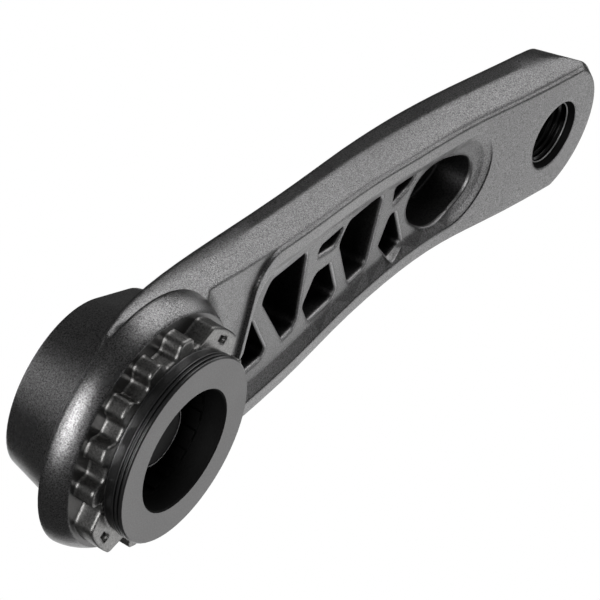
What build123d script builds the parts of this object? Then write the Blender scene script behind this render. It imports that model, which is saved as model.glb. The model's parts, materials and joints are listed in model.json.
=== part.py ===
from build123d import *
import os

os.makedirs("parts", exist_ok=True)

# Frame: X runs along the arm from the spindle axis to the pedal axis, -Y faces the bicycle
# (inboard), +Y faces away from it (outboard) and Z is up. The origin is on the spindle axis,
# in the front face of the threaded boss. All sizes are in millimetres.

# stations along the arm
pedal_distance = 170.0        # spindle axis to pedal axis
arm_end = 195.0               # the arm's surfaces run on past the pedal eye to here
head_start = -16.0
neck_station = 17.0
shoulder_station = 50.0
haunch_station = 80.0
elbow_station = 106.0
waist_station = 128.0
section_count = 10            # steps in which the sections are joined
section_reach = 3.0           # how far the sections run on inboard of the face

# how far outboard the flat inboard face lies at each station
neck_face = 12.9
shoulder_face = 14.5
haunch_face = 18.2
elbow_face = 20.7
waist_face = 21.9
pedal_face = 20.1

# half width of the inboard face at each station, from the centre line to the crease
start_half = 20.8
neck_half = 21.3
shoulder_half = 20.1
haunch_half = 18.2
elbow_half = 15.8
waist_half = 14.7

# section across the arm, outward from the crease
bevel_width = 2.1
side_width = 2.8              # crease to the narrow flat side
edge_width = 2.9              # crease to the outboard edge

# the same section, outboard from the face: where the head begins, at the neck, on the
# broad part of the arm, at the elbow and on the narrow part
bevel_depths = (0.5, 4.2, 4.8, 4.7, 4.1)
side_depths = (0.8, 5.9, 6.5, 6.9, 6.3)
edge_depths = (1.1, 8.3, 9.5, 10.5, 10.2)
crown_depths = (2.0, 11.8, 13.2, 13.8, 13.3)

# raised land on the inboard face, with the ribbed recess sunk into it
land_height = 0.8
land_overlap = 0.5            # how far the land reaches into the arm beneath it
land_start = 38.6
land_corner = 8.0
recess_start = 40.0
recess_end = 145.0
recess_depth = 1.6
recess_bevel_width = 3.4
recess_bevel_depth = 1.4
recess_margin = 3.4           # land left beside the recess
pocket_depth = 10.0
rib_chamfer = 0.7             # along the mouth of each pocket
mouth_margin = 0.6            # how far the mouth stands out round and down the pocket

# flange with the seat face, and the lobed ring in front of it
seat_depth = 8.5
seat_radius = 25.1
flange_radius = 27.3
flange_bulge = 14.0           # depth at which the flange is widest
flange_back = 14.8
flange_round = 1.4
head_radius = 26.4            # round end of the arm behind the flange
rim_rise = 0.4                # how far the rim of the flange bulges
cove_start_radius = 26.0      # hollow beside the flange, from the rim
cove_start_depth = 11.0
cove_middle_radius = 28.5
cove_middle_depth = 13.1
cove_radius = 33.5            # to where it meets the arm
cove_depth = 14.3
lobe_count = 15
lobe_phase = 94.0             # angle of one lobe, from +X towards +Z
lobe_front = 4.2
lobe_tip_radius = 23.5
lobe_root_radius = 20.4
lobe_tip_width = 3.9
lobe_root_width = 5.0
lobe_tip_round = 1.5
lobe_root_round = 1.2
lobe_reach = 1.5              # how far a lobe's flanks are drawn past its root and tip
key_angles = (58.0, 226.0)    # where two neighbouring lobes are joined into one key
key_radius = 24.1
key_tip_width = 11.2
key_root_width = 14.0
key_slot_width = 3.2
key_slot_height = 1.5

# threaded boss
boss_radius = 20.0
boss_chamfer = 0.3
thread_start = 0.6
thread_pitch = 0.9
thread_height = 0.5
thread_turns = 2
relief_radius = 19.6
relief_length = 1.9           # plain length between the thread and the lobes

# outboard boss that carries the bolt
bolt_boss_root = 15.5
bolt_boss_end = 29.1
bolt_boss_radius = 21.7       # at its root
bolt_boss_taper = 14.3        # degrees
bolt_boss_chamfer = 0.6
tail_distance = 12.0          # the boss runs on towards the arm
tail_radius = 19.3

# spindle socket, bolt hole and cap recess
pilot_radius = 13.0
bore_chamfer = 0.3
pilot_length = 5.0
spline_count = 18
spline_root_radius = 12.6
spline_tip_radius = 11.9
socket_end = 18.0
bolt_hole_radius = 7.1
cap_recess_radius = 11.5
cap_recess_start = 22.0

# crank bolt
bolt_tip = 6.0
bolt_radius = 6.7
bolt_head_radius = 10.9
bolt_head_end = 26.0
bolt_chamfer = 0.6
bolt_key_size = 8.0
bolt_key_depth = 5.0

# pedal eye
eye_radius = 17.4
eye_chamfer = 1.8
end_lean = 0.5                # how far the end wall leans back, per mm outboard
shank_flare = 15.0            # the end wall's sides widen this much back to the spindle
pedal_bore_radius = 7.15
pedal_recess_radius = 8.1
pedal_recess_depth = 1.5


# more than the depth and width of the whole arm, for solids that reach right through it
beyond = 60.0


def upright(outline, start, end):
    """Solid with this outline in X and Z, reaching from one depth in Y to another."""
    return extrude(Plane.XZ.offset(-start) * outline, amount=start - end)


def turned(points):
    """Solid of revolution about the spindle axis from (radius, depth) points."""
    profile = make_face(Polyline(*points, close=True))
    return revolve(profile, axis=Axis.Y, revolution_arc=360)


stations = [
    head_start,
    neck_station,
    shoulder_station,
    haunch_station,
    elbow_station,
    waist_station,
    pedal_distance,
    arm_end,
]


def along(x, values):
    """Value at x on a smooth curve through one value at each station.

    The curve runs level where the values turn or repeat, and so never overshoots them.
    """
    gaps = [after - before for before, after in zip(stations, stations[1:])]
    rises = [(values[n + 1] - values[n]) / gap for n, gap in enumerate(gaps)]
    slopes = [rises[0]]
    for before, after in zip(rises, rises[1:]):
        turning = before * after <= 0
        slopes.append(0 if turning else 2 * before * after / (before + after))
    slopes.append(rises[-1])
    i = max(n for n in range(len(gaps)) if stations[n] <= x)
    t = (x - stations[i]) / gaps[i]
    rise = values[i] + t * gaps[i] * slopes[i]
    fall = values[i + 1] - (1 - t) * gaps[i] * slopes[i + 1]
    step = t * t * (3 - 2 * t)
    return rise * (1 - step) + fall * step


faces = [
    neck_face,
    neck_face,
    shoulder_face,
    haunch_face,
    elbow_face,
    waist_face,
    pedal_face,
    pedal_face,
]
halves = [start_half, neck_half, shoulder_half, haunch_half, elbow_half, *[waist_half] * 3]
section_places = [
    head_start + (arm_end - head_start) * n / section_count for n in range(section_count + 1)
]


def inboard_of_face(depth):
    """All space on the inboard side of the arm's face moved outboard by this depth."""
    line = Spline(*[(x, along(x, faces) + depth) for x in section_places])
    back = Polyline(
        line @ 1,
        (arm_end, -beyond),
        (-beyond, -beyond),
        (-beyond, neck_face + depth),
        line @ 0,
    )
    return extrude(Pos(0, 0, -beyond) * make_face(line + back), amount=2 * beyond)


def arm_section(x, face, half, bevel, side, edge, crown):
    """Section across the arm; each pair is a width and a depth from the crease."""
    slope = bevel[0] / bevel[1]
    upper = [
        (face - section_reach, half - section_reach * slope),
        (face + bevel[1], half + bevel[0]),
        (face + side[1], half + side[0]),
        (face + edge[1], half + edge[0]),
    ]
    lower = [(y, -z) for y, z in reversed(upper)]
    crest = ThreePointArc(upper[-1], (face + crown, 0), lower[0])
    outline = Polyline(*upper) + crest + Polyline(*lower) + Line(lower[-1], upper[0])
    return Plane.YZ.offset(x) * make_face(outline)


def depth_along(x, depths):
    """Depth of one edge of the section at x, from its five named depths."""
    start, neck, broad, elbow, narrow = depths
    return along(x, [start, neck, broad, broad, elbow, narrow, narrow, narrow])


envelope = loft(
    [
        arm_section(
            x,
            along(x, faces),
            along(x, halves),
            (bevel_width, depth_along(x, bevel_depths)),
            (side_width, depth_along(x, side_depths)),
            (edge_width, depth_along(x, edge_depths)),
            depth_along(x, crown_depths),
        )
        for x in section_places
    ]
)
arm = envelope - inboard_of_face(land_height)

# raised land between the creases
def between_creases(inset, start, end, corner, bulge=0.0):
    """Outline this far inside both creases, square at the head end with round corners.

    The far end is straight, or an arc that stands out by the bulge.
    """
    places = [start, *[x for x in section_places if start + 5 < x < end - 5], end]
    points = [(x, along(x, halves) - inset) for x in places]
    rise = (points[1][1] - points[0][1]) / (points[1][0] - points[0][0])
    top = Spline(*points, tangents=[(1, rise), (1, 0)])
    low = Spline(*[(x, -z) for x, z in points], tangents=[(1, -rise), (1, 0)])
    far = Line(top @ 1, low @ 1)
    if bulge:
        far = ThreePointArc(top @ 1, (end + bulge, 0), low @ 1)
    shape = make_face(top + far + low + Line(low @ 0, top @ 0))
    return fillet(shape.vertices().sort_by(Axis.X)[:2], corner)


land = upright(between_creases(0, land_start, arm_end, land_corner), 0, beyond)
arm += land & (inboard_of_face(land_height + land_overlap) - inboard_of_face(0))

# round head, and a round end that leans back as it goes outboard
lean = Vector(-end_lean, 1, 0)
eye_plane = Plane.XZ.offset(-pedal_face)
eye_end = extrude(eye_plane * Pos(pedal_distance, 0) * Circle(eye_radius), amount=beyond, dir=lean)
eye_end = chamfer(eye_end.faces().sort_by(Axis.Y)[0].edges(), eye_chamfer)
shank_corners = [
    (pedal_distance, eye_radius),
    (0, eye_radius + shank_flare),
    (0, -eye_radius - shank_flare),
    (pedal_distance, -eye_radius),
]
shank = make_face(Polyline(*shank_corners, close=True))
eye_end += extrude(eye_plane * shank, amount=beyond, dir=lean, both=True)
arm &= eye_end + upright(Rectangle(2 * shoulder_station, 2 * beyond), 0, beyond)
head_box = Pos(arm_end / 2, 0) * Rectangle(arm_end, 2 * beyond)
head_plan = upright(Circle(head_radius) + head_box, 0, beyond)
arm &= head_plan

# flange with a convex rim
rim = [(seat_radius, seat_depth), (flange_radius, flange_bulge)]
flange = make_face(
    Polyline((0, flange_back), (0, seat_depth), rim[0])
    + SagittaArc(rim[0], rim[1], -rim_rise)
    + Polyline(rim[1], (flange_radius - flange_round, flange_back), (0, flange_back))
)
arm += revolve(flange, axis=Axis.Y, revolution_arc=360)

# hollow sweep from the rim into the arm, kept inside the arm's own bevels
sweep = [
    (cove_start_radius, cove_start_depth),
    (cove_middle_radius, cove_middle_depth),
    (cove_radius, cove_depth),
]
cove = make_face(
    Polyline((lobe_root_radius, flange_back), (lobe_root_radius, cove_start_depth), sweep[0])
    + ThreePointArc(*sweep)
    + Polyline(sweep[2], (cove_radius, flange_back), (lobe_root_radius, flange_back))
)
arm += revolve(cove, axis=Axis.Y, revolution_arc=360) & envelope & head_plan

# outboard boss that carries the bolt, drawn out towards the arm
tail = Pos(tail_distance, 0) * Circle(tail_radius)
boss_plan = make_hull(Circle(bolt_boss_radius).edges() + tail.edges())
bolt_boss = extrude(
    Plane.XZ.offset(-bolt_boss_root) * boss_plan,
    amount=bolt_boss_root - bolt_boss_end,
    taper=bolt_boss_taper,
)
bolt_boss = chamfer(bolt_boss.faces().sort_by(Axis.Y)[-1].edges(), bolt_boss_chamfer)
arm += bolt_boss

# lobed ring in front of the seat face
def lobe(angle, tip_width, root_width, tip_radius):
    """Plan of one lobe or key, pointing away from the spindle axis."""
    spread = (root_width - tip_width) / 2 / (lobe_tip_radius - lobe_root_radius)
    wide = root_width / 2 + spread * lobe_reach
    thin = tip_width / 2 - spread * lobe_reach
    inner = lobe_root_radius - lobe_reach
    outer = tip_radius + lobe_reach
    corners = [(inner, -wide), (outer, -thin), (outer, thin), (inner, wide)]
    shape = make_face(Polyline(*corners, close=True)) & Circle(tip_radius)
    return Rot(0, 0, angle) * shape


ring = Circle(lobe_root_radius)
for number in range(lobe_count):
    angle = (lobe_phase + number * 360 / lobe_count) % 360
    if min(abs(angle - key) for key in key_angles) > 360 / lobe_count:
        ring += lobe(angle, lobe_tip_width, lobe_root_width, lobe_tip_radius)
for angle in key_angles:
    ring += lobe(angle, key_tip_width, key_root_width, key_radius)
ring = upright(ring, lobe_front, flange_back)


def corner_edges(solid, low, high):
    """Edges that run along Y and lie between two distances from the spindle axis."""
    upright_edges = solid.edges().filter_by(Axis.Y)
    return [e for e in upright_edges if low < Vector(e.center().X, e.center().Z).length < high]


lobe_middle = (lobe_root_radius + lobe_tip_radius) / 2
ring = fillet(corner_edges(ring, 0, lobe_middle), lobe_root_round)
ring = fillet(corner_edges(ring, lobe_middle, beyond), lobe_tip_round)
arm += ring

# threaded boss with fine rings for its thread, and a plain relief behind it
thread_root = boss_radius - thread_height
boss = [
    (0, flange_back),
    (0, 0),
    (boss_radius - boss_chamfer, 0),
    (boss_radius, boss_chamfer),
]
for turn in range(thread_turns):
    groove = thread_start + thread_pitch * turn
    boss += [(boss_radius, groove), (thread_root, groove + thread_pitch / 4)]
    boss += [(boss_radius, groove + thread_pitch / 2)]
boss += [(boss_radius, lobe_front - relief_length), (relief_radius, lobe_front - relief_length)]
boss += [(relief_radius, flange_back)]
arm += turned(boss)

# recess in the land with sloping sides, then the pockets that leave the ribs standing
end_radius = waist_half - recess_margin
recess = between_creases(
    recess_margin, recess_start, recess_end - end_radius, land_corner, end_radius
)
floor = upright(recess, 0, beyond) & inboard_of_face(recess_depth)
rim_edges = floor.faces().sort_by(lambda face: face.center().Y)[-1].edges()
floor = chamfer(rim_edges, recess_bevel_depth, recess_bevel_width)
arm -= floor

pockets = [
    (1.5, [(43.5, 4.5), (56.0, -9.3), (41.0, -10.2), (39.8, -3.0)]),
    (2.0, [(64.0, 11.3), (68.3, -8.3), (62.5, -9.0), (46.8, 6.8), (48.6, 11.0)]),
    (1.0, [(70.3, 9.4), (83.8, 9.5), (79.3, 5.8), (71.0, 7.0)]),
    (1.8, [(72.0, 2.2), (79.3, 1.6), (88.0, -9.9), (75.0, -10.4), (69.2, -4.0)]),
    (2.0, [(99.6, 9.6), (100.2, -8.4), (93.0, -9.2), (81.8, 5.4), (84.2, 9.4)]),
    (0.8, [(105.2, 9.0), (116.0, 9.2), (111.8, 6.2), (106.3, 4.3)]),
    (1.2, [(106.2, 1.6), (108.8, 1.4), (115.9, -8.8), (111.4, -11.0), (104.4, -5.0)]),
]
last_pocket = [(113.9, 3.2), (117.5, 7.2), (124.5, 8.1), (132.0, 6.7), (138.8, 3.0),
               (140.3, -2.5), (135.0, -7.6), (127.0, -9.1), (119.8, -6.2)]
for corner, points in pockets:
    outline = fillet(make_face(Polyline(*points, close=True)).vertices(), corner)
    mouth = upright(offset(outline, mouth_margin), 0, beyond)
    mouth &= inboard_of_face(recess_depth + mouth_margin)
    far_edges = mouth.faces().sort_by(lambda face: face.center().Y)[-1].edges()
    arm -= chamfer(far_edges, rib_chamfer)
    arm -= upright(outline, 0, beyond) & inboard_of_face(pocket_depth)
outline = make_face(Spline(*last_pocket, periodic=True))
arm -= upright(outline, 0, beyond) & inboard_of_face(pocket_depth)

# spindle socket from the inboard side, bolt hole, and the recess for the cap
arm -= turned(
    [
        (0, -1),
        (pilot_radius + bore_chamfer, -1),
        (pilot_radius + bore_chamfer, 0),
        (pilot_radius, bore_chamfer),
        (pilot_radius, pilot_length),
        (0, pilot_length),
    ]
)
socket = Circle(spline_root_radius)
for number in range(spline_count):
    tooth = Pos(spline_root_radius, 0) * Rectangle(
        2 * (spline_root_radius - spline_tip_radius), 3.14 * spline_tip_radius / spline_count
    )
    socket -= Rot(0, 0, number * 360 / spline_count) * tooth
arm -= upright(socket, pilot_length - 1, socket_end)
arm -= upright(Circle(bolt_hole_radius), socket_end - 1, beyond)
arm -= upright(Circle(cap_recess_radius), cap_recess_start, beyond)

# small hollows in the front of the keys
for angle in key_angles:
    slot = Pos(lobe_tip_radius - 1.6, 0) * Rectangle(key_slot_height, key_slot_width)
    arm -= upright(Rot(0, 0, angle) * slot, lobe_front - 1, lobe_front + 1.0)

# pedal eye
at_pedal = Pos(pedal_distance, 0)
arm -= upright(at_pedal * Circle(pedal_bore_radius), 0, beyond)
arm -= upright(at_pedal * Circle(pedal_recess_radius), 0, pedal_face + pedal_recess_depth)
export_step(arm, "parts/crank_arm.step")

# crank bolt, whose tip stands in the bore
bolt = turned(
    [
        (0, bolt_tip),
        (bolt_radius - bolt_chamfer, bolt_tip),
        (bolt_radius, bolt_tip + bolt_chamfer),
        (bolt_radius, cap_recess_start),
        (bolt_head_radius, cap_recess_start),
        (bolt_head_radius, bolt_head_end - bolt_chamfer),
        (bolt_head_radius - bolt_chamfer, bolt_head_end),
        (0, bolt_head_end),
    ]
)
key_hole = RegularPolygon(bolt_key_size / 2, 6, major_radius=False)
bolt -= upright(key_hole, bolt_head_end - bolt_key_depth, bolt_head_end + 1)
export_step(bolt, "parts/crank_bolt.step")
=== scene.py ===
import bpy
import json
import math
from mathutils import Matrix, Vector

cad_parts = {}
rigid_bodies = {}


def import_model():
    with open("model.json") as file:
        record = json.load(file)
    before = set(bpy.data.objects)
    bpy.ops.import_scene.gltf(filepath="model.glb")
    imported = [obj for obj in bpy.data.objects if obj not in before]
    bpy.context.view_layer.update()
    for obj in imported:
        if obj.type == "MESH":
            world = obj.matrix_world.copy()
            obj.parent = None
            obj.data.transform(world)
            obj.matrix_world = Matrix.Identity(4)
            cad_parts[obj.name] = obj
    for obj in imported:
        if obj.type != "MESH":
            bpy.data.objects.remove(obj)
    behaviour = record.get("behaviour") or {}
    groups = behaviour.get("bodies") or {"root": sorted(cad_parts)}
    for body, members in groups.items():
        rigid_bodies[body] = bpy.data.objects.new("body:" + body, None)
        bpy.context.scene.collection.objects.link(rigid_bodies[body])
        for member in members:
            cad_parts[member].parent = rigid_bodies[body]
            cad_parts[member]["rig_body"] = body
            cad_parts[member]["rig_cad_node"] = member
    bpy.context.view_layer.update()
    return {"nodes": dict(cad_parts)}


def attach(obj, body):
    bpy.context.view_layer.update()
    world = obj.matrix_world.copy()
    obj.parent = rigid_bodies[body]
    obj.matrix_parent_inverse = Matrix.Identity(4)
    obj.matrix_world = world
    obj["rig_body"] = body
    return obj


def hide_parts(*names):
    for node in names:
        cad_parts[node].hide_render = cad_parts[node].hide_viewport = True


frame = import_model()
mm = 0.001
pedalX = 170 * mm             # spindle axis to pedal axis


# small helpers

def deselectAll():
    if bpy.context.object and bpy.context.object.mode != "OBJECT":
        bpy.ops.object.mode_set(mode="OBJECT")
    bpy.ops.object.select_all(action="DESELECT")


def useOnly(piece):
    deselectAll()
    piece.select_set(True)
    bpy.context.view_layer.objects.active = piece


def named(name):
    # the piece just added, under its own name
    piece = bpy.context.object
    piece.name = name
    piece.data.name = name
    return piece


def radiusFrom(point, centreX=0.0):
    return math.hypot(point.x - centreX, point.z)


def endsOf(piece, edge):
    return [piece.data.vertices[i].co for i in edge.vertices]


# finishes

grainShape = {
    "grainDetail": 4.0, "grainRoughness": 0.65,
    "cloudDetail": 3.0, "cloudRoughness": 0.5,
    "darkUntil": 0.3, "lightFrom": 0.72,     # of the grain, for the colour
    "patchFrom": 0.3, "patchTo": 0.7,        # of the clouds, for the roughness
    "edgeSamples": 8,
}


def addNode(tree, kind, place, **values):
    node = tree.nodes.new(kind)
    node.location = place
    for socketName, value in values.items():
        node.inputs[socketName.replace("_", " ")].default_value = value
    return node


def grainyMetal(look):
    # blasted or turned metal: fine grain in colour, roughness and bump, with rounded edges
    material = bpy.data.materials.new(look["name"])
    material.use_nodes = True
    tree = material.node_tree
    link = tree.links.new
    shader = tree.nodes["Principled BSDF"]
    shader.inputs["Metallic"].default_value = look["metallic"]
    shader.inputs["Specular IOR Level"].default_value = look["specular"]
    where = addNode(tree, "ShaderNodeTexCoord", (-1400, 0))
    stretch = addNode(tree, "ShaderNodeMapping", (-1200, 0), Scale=look["stretch"])
    link(where.outputs["Object"], stretch.inputs["Vector"])
    grain = addNode(tree, "ShaderNodeTexNoise", (-1000, 200), Scale=look["grainScale"],
                    Detail=grainShape["grainDetail"], Roughness=grainShape["grainRoughness"])
    link(stretch.outputs["Vector"], grain.inputs["Vector"])
    cloud = addNode(tree, "ShaderNodeTexNoise", (-1000, -100), Scale=look["cloudScale"],
                    Detail=grainShape["cloudDetail"], Roughness=grainShape["cloudRoughness"])
    link(where.outputs["Object"], cloud.inputs["Vector"])

    tint = addNode(tree, "ShaderNodeValToRGB", (-700, 300))
    dark, light = tint.color_ramp.elements
    dark.position = grainShape["darkUntil"]
    dark.color = look["dark"] + (1.0,)
    light.position = grainShape["lightFrom"]
    light.color = look["light"] + (1.0,)
    link(grain.outputs["Fac"], tint.inputs["Fac"])

    patch = addNode(tree, "ShaderNodeMapRange", (-700, -100),
                    From_Min=grainShape["patchFrom"], From_Max=grainShape["patchTo"],
                    To_Min=look["roughness"] - look["roughSpread"],
                    To_Max=look["roughness"] + look["roughSpread"])
    link(cloud.outputs["Fac"], patch.inputs["Value"])

    soft = addNode(tree, "ShaderNodeBevel", (-700, -350), Radius=look["edgeRound"])
    soft.samples = grainShape["edgeSamples"]
    bump = addNode(tree, "ShaderNodeBump", (-400, -250),
                   Strength=look["bump"], Distance=look["bumpDepth"])
    link(grain.outputs["Fac"], bump.inputs["Height"])
    link(soft.outputs["Normal"], bump.inputs["Normal"])
    link(tint.outputs["Color"], shader.inputs["Base Color"])
    link(patch.outputs["Result"], shader.inputs["Roughness"])
    link(bump.outputs["Normal"], shader.inputs["Normal"])
    return material


evenGrain = (1.0, 1.0, 1.0)
blastedLook = {
    "name": "blastedBlack",
    "dark": (0.04, 0.0395, 0.04), "light": (0.37, 0.367, 0.37),
    "metallic": 1.0, "specular": 0.5, "roughness": 0.29, "roughSpread": 0.03,
    "grainScale": 3300.0, "cloudScale": 60.0, "stretch": evenGrain,
    "bump": 0.4, "bumpDepth": 0.1 * mm, "edgeRound": 1.2 * mm,
}
# painted shade: a darker copy of the blasted finish for the ribs in the recess
ribShadeLook = dict(blastedLook, name="ribsPaintedShade", edgeRound=1.9 * mm,
               dark=(0.03, 0.0297, 0.03), light=(0.24, 0.238, 0.24))
# painted highlight: a lighter copy of the blasted finish for the steep faces along the rib
# edges
ribEdgeHighlightLook = dict(blastedLook, name="ribEdgePaintedHighlight", roughness=0.4,
                   dark=(0.22, 0.218, 0.22), light=(0.6, 0.595, 0.6))
# painted shade: a darker copy of the blasted finish for the pocket walls and floors
pocketShadeLook = dict(blastedLook, name="pocketPaintedShade", edgeRound=1.0 * mm,
                  dark=(0.07, 0.069, 0.07), light=(0.22, 0.217, 0.22),
                  roughness=0.36, grainScale=2400.0, bump=0.35)
turnedLook = {
    "name": "turnedFace",
    "dark": (0.11, 0.109, 0.109), "light": (0.17, 0.168, 0.168),
    "metallic": 1.0, "specular": 0.5, "roughness": 0.36, "roughSpread": 0.02,
    "grainScale": 2600.0, "cloudScale": 90.0, "stretch": evenGrain,
    "bump": 0.08, "bumpDepth": 0.05 * mm, "edgeRound": 0.3 * mm,
}
lobeLook = {
    "name": "lobeSteel",
    "dark": (0.12, 0.118, 0.116), "light": (0.34, 0.337, 0.33),
    "metallic": 1.0, "specular": 0.5, "roughness": 0.34, "roughSpread": 0.03,
    "grainScale": 2200.0, "cloudScale": 120.0, "stretch": evenGrain,
    "bump": 0.1, "bumpDepth": 0.05 * mm, "edgeRound": 1.2 * mm,
}
bossLook = {
    "name": "polishedBoss",
    "dark": (0.1, 0.1, 0.101), "light": (0.18, 0.18, 0.182),
    "metallic": 1.0, "specular": 0.5, "roughness": 0.3, "roughSpread": 0.03,
    "grainScale": 1500.0, "cloudScale": 120.0, "stretch": (1.0, 6.0, 1.0),
    "bump": 0.06, "bumpDepth": 0.04 * mm, "edgeRound": 0.2 * mm,
}
# painted shade: a near-black finish for the spindle bore and the pedal bore's step, where
# shade falls
boreShadeLook = dict(bossLook, name="paintedShadeBore", stretch=(1.0, 4.0, 1.0),
                dark=(0.004, 0.004, 0.004), light=(0.01, 0.01, 0.01),
                metallic=0.0, specular=0.1, roughness=0.6, roughSpread=0.05,
                bump=0.1, bumpDepth=0.05 * mm)
pedalThreadLook = dict(bossLook, name="pedalThread", stretch=(1.0, 4.0, 1.0),
                       dark=(0.03, 0.03, 0.03), light=(0.07, 0.07, 0.07),
                       specular=0.3, roughness=0.26, roughSpread=0.04, bump=0.05)
# the bolt's near-black colour is partly its own black finish and partly painted shade in its
# bore
boltShadeLook = {
    "name": "blackBoltPaintedShade",
    "dark": (0.004, 0.004, 0.0041), "light": (0.012, 0.012, 0.0122),
    "metallic": 0.0, "specular": 0.15, "roughness": 0.5, "roughSpread": 0.04,
    "grainScale": 1800.0, "cloudScale": 150.0, "stretch": (1.0, 5.0, 1.0),
    "bump": 0.08, "bumpDepth": 0.04 * mm, "edgeRound": 0.2 * mm,
}
# painted highlight: a bright finish for the thin rims, to show as glints
glintLook = dict(boltShadeLook, name="paintedGlintRim", stretch=evenGrain,
                 dark=(0.3, 0.3, 0.3), light=(0.5, 0.5, 0.5),
                 metallic=0.6, specular=0.5, roughness=0.35,
                 bump=0.05, bumpDepth=0.03 * mm, edgeRound=0.1 * mm)
finishes = {
    "blasted": grainyMetal(blastedLook),
    "turned": grainyMetal(turnedLook),
    "lobes": grainyMetal(lobeLook),
    "boss": grainyMetal(bossLook),
    "bore": grainyMetal(boreShadeLook),
    "pedalThread": grainyMetal(pedalThreadLook),
    "pocket": grainyMetal(pocketShadeLook),
    "ribs": grainyMetal(ribShadeLook),
    "ribEdge": grainyMetal(ribEdgeHighlightLook),
    "glint": grainyMetal(glintLook),
    "bolt": grainyMetal(boltShadeLook),
}
print("finishes ready:", len(finishes))


# forging: the solid's own surface, joined up and given its finishes by place

joining = {
    "mergeWithin": 0.002 * mm,
    "flatWithin": 0.05,       # degrees
    "smoothAngle": 26.0,
}
forging = {
    "order": ["blasted", "turned", "lobes", "boss", "bore", "pedalThread",
              "pocket", "ribs", "ribEdge"],
    "ridgeAngle": 11.0,       # degrees, ridges of the arm stay crisp beyond this
    "ridgesFrom": 36.0 * mm,  # from the spindle axis
    "eyeRound": 19.0 * mm,
    # the rest in mm, depths going outboard from the boss's end face
    "pocketSpan": (38.0, 148.0),
    "pocketHalf": 12.5,
    "mouthDepth": 2.3,        # below the inner face
    "ribDepth": 0.9,
    "ribEdgeTilt": 0.85,      # of the normal along the depth
    "inwardTilt": 0.5,
    "innerFace": ((38.0, 13.9), (50.0, 14.5), (80.0, 18.2),
                  (106.0, 20.7), (128.0, 21.9), (148.0, 21.2)),
    "seat": 8.5,
    "seatRadius": 25.2,
    "bossRadius": 20.05,
    "lobeRadius": 24.3,
    "lobeBand": (20.2, 23.6),
    "lobeRun": 0.9,           # share of an edge's length along the depth
    "boreRadius": 13.35,
    "pedalBoreRadius": 7.3,
    "pedalStepRadius": 8.2,
    "near": 0.05,
    "touching": 0.01,
}


def joinedCopy(node, name):
    useOnly(node)
    bpy.ops.object.duplicate()
    piece = named(name)
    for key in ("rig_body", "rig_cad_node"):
        if key in piece:
            del piece[key]
    piece.parent = None
    piece.matrix_world = Matrix.Identity(4)
    useOnly(piece)
    bpy.ops.object.mode_set(mode="EDIT")
    bpy.ops.mesh.select_all(action="SELECT")
    bpy.ops.mesh.remove_doubles(threshold=joining["mergeWithin"])
    bpy.ops.mesh.customdata_custom_splitnormals_clear()
    bpy.ops.mesh.dissolve_limited(angle_limit=math.radians(joining["flatWithin"]))
    bpy.ops.mesh.quads_convert_to_tris(quad_method="BEAUTY", ngon_method="BEAUTY")
    bpy.ops.object.mode_set(mode="OBJECT")
    piece.data.materials.clear()
    return piece


def smoothed(piece):
    useOnly(piece)
    bpy.ops.object.shade_smooth_by_angle(angle=math.radians(joining["smoothAngle"]))


def innerFaceAt(along):
    # depth of the arm's inner face at a distance along it
    spots = forging["innerFace"]
    for (x0, y0), (x1, y1) in zip(spots, spots[1:]):
        if x0 <= along <= x1:
            return y0 + (y1 - y0) * (along - x0) / (x1 - x0)
    return 0.0


def finishAt(centre, normal):
    # which finish a face has, from its place
    along, depth = centre.x / mm, centre.y / mm
    fromSpindle = radiusFrom(centre) / mm
    fromPedal = radiusFrom(centre, pedalX) / mm
    seat, near = forging["seat"], forging["near"]
    first, last = forging["pocketSpan"]
    overRibs = first < along < last and abs(centre.z) / mm < forging["pocketHalf"]
    if overRibs and normal.y < forging["inwardTilt"]:
        below = depth - innerFaceAt(along)
        # painted shade: faces deep in the pockets get the darker pocket finish
        if below > forging["mouthDepth"]:
            return "pocket"
        # painted shade: faces just below the inner face, over the ribs, get the darker ribs
        # finish
        if below > forging["ribDepth"]:
            # painted highlight on the steep rib-edge faces, painted shade on the rest of the
            # ribs
            return "ribEdge" if abs(normal.y) < forging["ribEdgeTilt"] else "ribs"
    if fromPedal < forging["pedalBoreRadius"]:
        return "pedalThread"
    # painted shade: the pedal bore's step and the spindle bore get the near-black bore finish
    if fromPedal < forging["pedalStepRadius"]:
        return "bore"
    if fromSpindle < forging["boreRadius"] and depth > near:
        return "bore"
    if fromSpindle < forging["bossRadius"]:
        if depth < near:
            return "turned"
        if depth < seat + forging["touching"]:
            return "boss"
    if fromSpindle < forging["lobeRadius"] and depth < seat - near:
        return "lobes"
    if fromSpindle < forging["seatRadius"] and abs(depth - seat) < near:
        return "turned"
    return "blasted"


def ridgeOfArm(piece, edge):
    # true for a selected edge that isn't on the head or round the eye
    ends = endsOf(piece, edge)
    middle = (ends[0] + ends[1]) / 2
    nearEye = radiusFrom(middle, pedalX) < forging["eyeRound"]
    return edge.select and middle.x >= forging["ridgesFrom"] and not nearEye


def alongLobe(piece, edge):
    # true for an edge that runs along a lobe's flank or crest
    ends = endsOf(piece, edge)
    radii = [radiusFrom(end) / mm for end in ends]
    inner, outer = forging["lobeBand"]
    deepest = (forging["seat"] + forging["touching"]) * mm
    if min(radii) <= inner or max(radii) >= outer or max(end.y for end in ends) >= deepest:
        return False
    run = abs(ends[0].y - ends[1].y)
    return run > forging["lobeRun"] * (ends[0] - ends[1]).length


def markEdges(piece, picked, clear):
    for edge in piece.data.edges:
        edge.select = picked(piece, edge)
    bpy.ops.object.mode_set(mode="EDIT")
    bpy.ops.mesh.mark_sharp(clear=clear)
    bpy.ops.mesh.select_all(action="DESELECT")
    bpy.ops.object.mode_set(mode="OBJECT")


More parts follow.
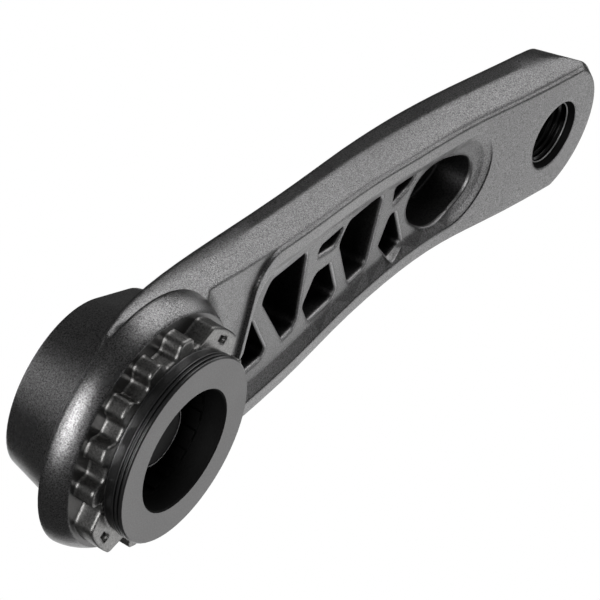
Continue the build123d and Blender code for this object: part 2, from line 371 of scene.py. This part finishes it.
armBody = joinedCopy(frame["nodes"]["crank_arm"], "armForging")
for key in forging["order"]:
    armBody.data.materials.append(finishes[key])
for face in armBody.data.polygons:
    face.material_index = forging["order"].index(finishAt(face.center, face.normal))
smoothed(armBody)
bpy.ops.object.mode_set(mode="EDIT")
bpy.ops.mesh.select_mode(type="EDGE")
bpy.ops.mesh.select_all(action="DESELECT")
bpy.ops.mesh.edges_select_sharp(sharpness=math.radians(forging["ridgeAngle"]))
bpy.ops.object.mode_set(mode="OBJECT")
markEdges(armBody, ridgeOfArm, clear=False)
# the lobes' flanks and rounds are shaded as one curve
markEdges(armBody, alongLobe, clear=True)
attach(armBody, "root")
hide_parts("crank_arm")
print("forging dressed:", len(armBody.data.polygons), "faces")


# pedal thread: a four-sided section wound along the bore, its outer half in the forging

pedalThread = {
    "boreRadius": 7.15 * mm,
    "ridge": 0.5 * mm,
    "pitch": 1.27 * mm,
    "turns": 8,
    "first": 22.35 * mm,      # depth of the first section
    "steps": 48,
    "sides": 4,
}
deselectAll()
bpy.ops.mesh.primitive_circle_add(vertices=pedalThread["sides"], radius=pedalThread["ridge"],
                                  location=(pedalX, 0.0, 0.0))
thread = named("pedalThread")
bpy.ops.object.mode_set(mode="EDIT")
bpy.ops.mesh.select_all(action="SELECT")
bpy.ops.transform.translate(value=(pedalThread["boreRadius"], pedalThread["first"], 0.0))
bpy.ops.object.mode_set(mode="OBJECT")
wind = thread.modifiers.new("wind", "SCREW")
wind.axis = "Y"
wind.screw_offset = pedalThread["pitch"]
wind.iterations = pedalThread["turns"]
wind.steps = pedalThread["steps"]
wind.render_steps = pedalThread["steps"]
bpy.ops.object.modifier_apply(modifier="wind")
bpy.ops.object.mode_set(mode="EDIT")
bpy.ops.mesh.select_all(action="SELECT")
bpy.ops.mesh.fill_holes(sides=pedalThread["sides"])
bpy.ops.mesh.select_all(action="SELECT")
bpy.ops.mesh.normals_make_consistent(inside=False)
bpy.ops.object.mode_set(mode="OBJECT")
bpy.ops.object.transform_apply(location=True, rotation=True, scale=True)
smoothed(thread)
thread.data.materials.append(finishes["pedalThread"])
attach(thread, "root")
depths = [corner.co.y / mm for corner in thread.data.vertices]
print("pedal thread wound:", len(thread.data.polygons), "faces, depth",
      round(min(depths), 2), "to", round(max(depths), 2))


# bolt on the spindle axis

boltBody = joinedCopy(frame["nodes"]["crank_bolt"], "spindleBolt")
boltBody.data.materials.append(finishes["bolt"])
smoothed(boltBody)
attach(boltBody, "root")
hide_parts("crank_bolt")
print("bolt dressed:", len(boltBody.data.polygons), "faces")


# thin rims with a bright finish, a painted highlight that shows as glints: the bolt's tip in
# its bore, and the edge of the pedal bore

rimFacets = {"round": 64, "across": 8}
rims = {
    "boltRim": {"radius": 6.55, "thick": 0.12, "depth": 6.05, "along": 0.0, "slot": "bolt"},
    "eyeRim": {"radius": 7.2, "thick": 0.16, "depth": 21.6, "along": pedalX, "slot": "arm"},
}
for name, rim in rims.items():
    deselectAll()
    bpy.ops.mesh.primitive_torus_add(major_segments=rimFacets["round"],
                                     minor_segments=rimFacets["across"],
                                     major_radius=rim["radius"] * mm,
                                     minor_radius=rim["thick"] * mm,
                                     location=(rim["along"], rim["depth"] * mm, 0.0),
                                     rotation=(math.radians(90), 0.0, 0.0))
    ring = named(name)
    bpy.ops.object.transform_apply(location=True, rotation=True, scale=True)
    bpy.ops.object.shade_smooth()
    ring.data.materials.append(finishes["glint"])
    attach(ring, "root")
print("rims added:", len(rims))


# pale floor, seen as plain white by the camera and in the metal

def mathNode(tree, operation, *inputs):
    # each input is a number, or an output to link
    node = tree.nodes.new("ShaderNodeMath")
    node.operation = operation
    for socket, given in zip(node.inputs, inputs):
        if isinstance(given, (int, float)):
            socket.default_value = given
        else:
            tree.links.new(given, socket)
    return node.outputs[0]


floorPlace = {
    "size": 1.4, "height": -0.5, "middle": (0.9, 0.02),
    "colour": (0.8, 0.8, 0.8, 1.0), "roughness": 0.9, "seen": 1.0,
}
plainWhite = (1.0, 1.0, 1.0, 1.0)
deselectAll()
bpy.ops.mesh.primitive_plane_add(size=floorPlace["size"],
                                 location=floorPlace["middle"] + (floorPlace["height"],))
floor = named("paleFloor")
bpy.ops.object.transform_apply(location=True, rotation=True, scale=True)
floorPaint = bpy.data.materials.new("paleFloor")
floorPaint.use_nodes = True
floorTree = floorPaint.node_tree
floorShader = floorTree.nodes["Principled BSDF"]
floorShader.inputs["Base Color"].default_value = floorPlace["colour"]
floorShader.inputs["Roughness"].default_value = floorPlace["roughness"]
rays = floorTree.nodes.new("ShaderNodeLightPath").outputs
cameraOrMirror = mathNode(floorTree, "MAXIMUM", rays["Is Camera Ray"], rays["Is Glossy Ray"])
seen = mathNode(floorTree, "MAXIMUM", cameraOrMirror, rays["Is Transmission Ray"])
white = addNode(floorTree, "ShaderNodeEmission", (-200, -300),
                Color=plainWhite, Strength=floorPlace["seen"])
choose = floorTree.nodes.new("ShaderNodeMixShader")
floorTree.links.new(seen, choose.inputs[0])
floorTree.links.new(floorShader.outputs[0], choose.inputs[1])
floorTree.links.new(white.outputs[0], choose.inputs[2])
floorTree.links.new(choose.outputs[0], floorTree.nodes["Material Output"].inputs["Surface"])
floor.data.materials.append(floorPaint)
print("floor laid")


# studio all round: white behind the part, shown only dimly in the metal

studio = {"seen": 1.0, "mirrored": 0.08, "light": 0.05}
world = bpy.data.worlds.new("studio")
bpy.context.scene.world = world
world.use_nodes = True
worldTree = world.node_tree
backdrop = worldTree.nodes["Background"]
backdrop.inputs["Color"].default_value = plainWhite
worldRays = worldTree.nodes.new("ShaderNodeLightPath").outputs
mirrored = mathNode(worldTree, "MAXIMUM",
                    worldRays["Is Glossy Ray"], worldRays["Is Transmission Ray"])
withMirrors = mathNode(worldTree, "MULTIPLY_ADD", mirrored,
                       studio["mirrored"] - studio["light"], studio["light"])
withCamera = mathNode(worldTree, "MULTIPLY_ADD", worldRays["Is Camera Ray"],
                      studio["seen"] - studio["light"], withMirrors)
worldTree.links.new(withCamera, backdrop.inputs["Strength"])


# soft boxes: place, what they look at, size and strength

lamps = {
    "headStrip": {"from": (-0.76, -0.16, 0.17), "at": (0.0, 0.0, 0.0),
                  "size": (0.18, 0.7), "watts": 4.0},
    "topBox": {"from": (0.55, -0.1, 0.82), "at": (0.08, 0.0, 0.0),
               "size": (0.7, 0.6), "watts": 2.7},
    "endBox": {"from": (0.95, -0.12, 0.38), "at": (0.1, 0.0, 0.0),
               "size": (0.5, 0.5), "watts": 1.1},
    "sideBox": {"from": (0.5, -0.63, -0.2), "at": (0.08, 0.0, 0.0),
                "size": (0.4, 0.5), "watts": 0.9},
    "backBox": {"from": (-0.3, 0.9, 0.1), "at": (0.03, 0.02, 0.0),
                "size": (0.6, 0.6), "watts": 1.1},
}
for name, lamp in lamps.items():
    deselectAll()
    bpy.ops.object.light_add(type="AREA", location=lamp["from"])
    light = named(name)
    light.data.shape = "RECTANGLE"
    light.data.size, light.data.size_y = lamp["size"]
    light.data.energy = lamp["watts"]
    aim = Vector(lamp["at"]) - Vector(lamp["from"])
    light.rotation_euler = aim.to_track_quat("-Z", "Y").to_euler()
print("studio lit:", len(lamps), "lamps")


# camera at the photograph's place

cameraPlace = {
    "at": (-0.708254, -0.368896, 0.510839),
    "right": (0.54824516, -0.80682327, 0.22014414),
    "up": (0.32610136, 0.44863014, 0.8320991),
    "lens": 300.0, "sensor": 36.0, "far": 20.0,
}
bpy.ops.object.camera_add(location=cameraPlace["at"])
camera = named("photoCamera")
camera.data.sensor_width = cameraPlace["sensor"]
camera.data.lens = cameraPlace["lens"]
camera.data.clip_end = cameraPlace["far"]
right = Vector(cameraPlace["right"])
up = Vector(cameraPlace["up"])
turn = Matrix((right, up, right.cross(up))).transposed().to_4x4()
camera.matrix_world = Matrix.Translation(Vector(cameraPlace["at"])) @ turn
bpy.context.scene.camera = camera
bpy.context.scene.view_settings.view_transform = "Standard"
print("camera set")
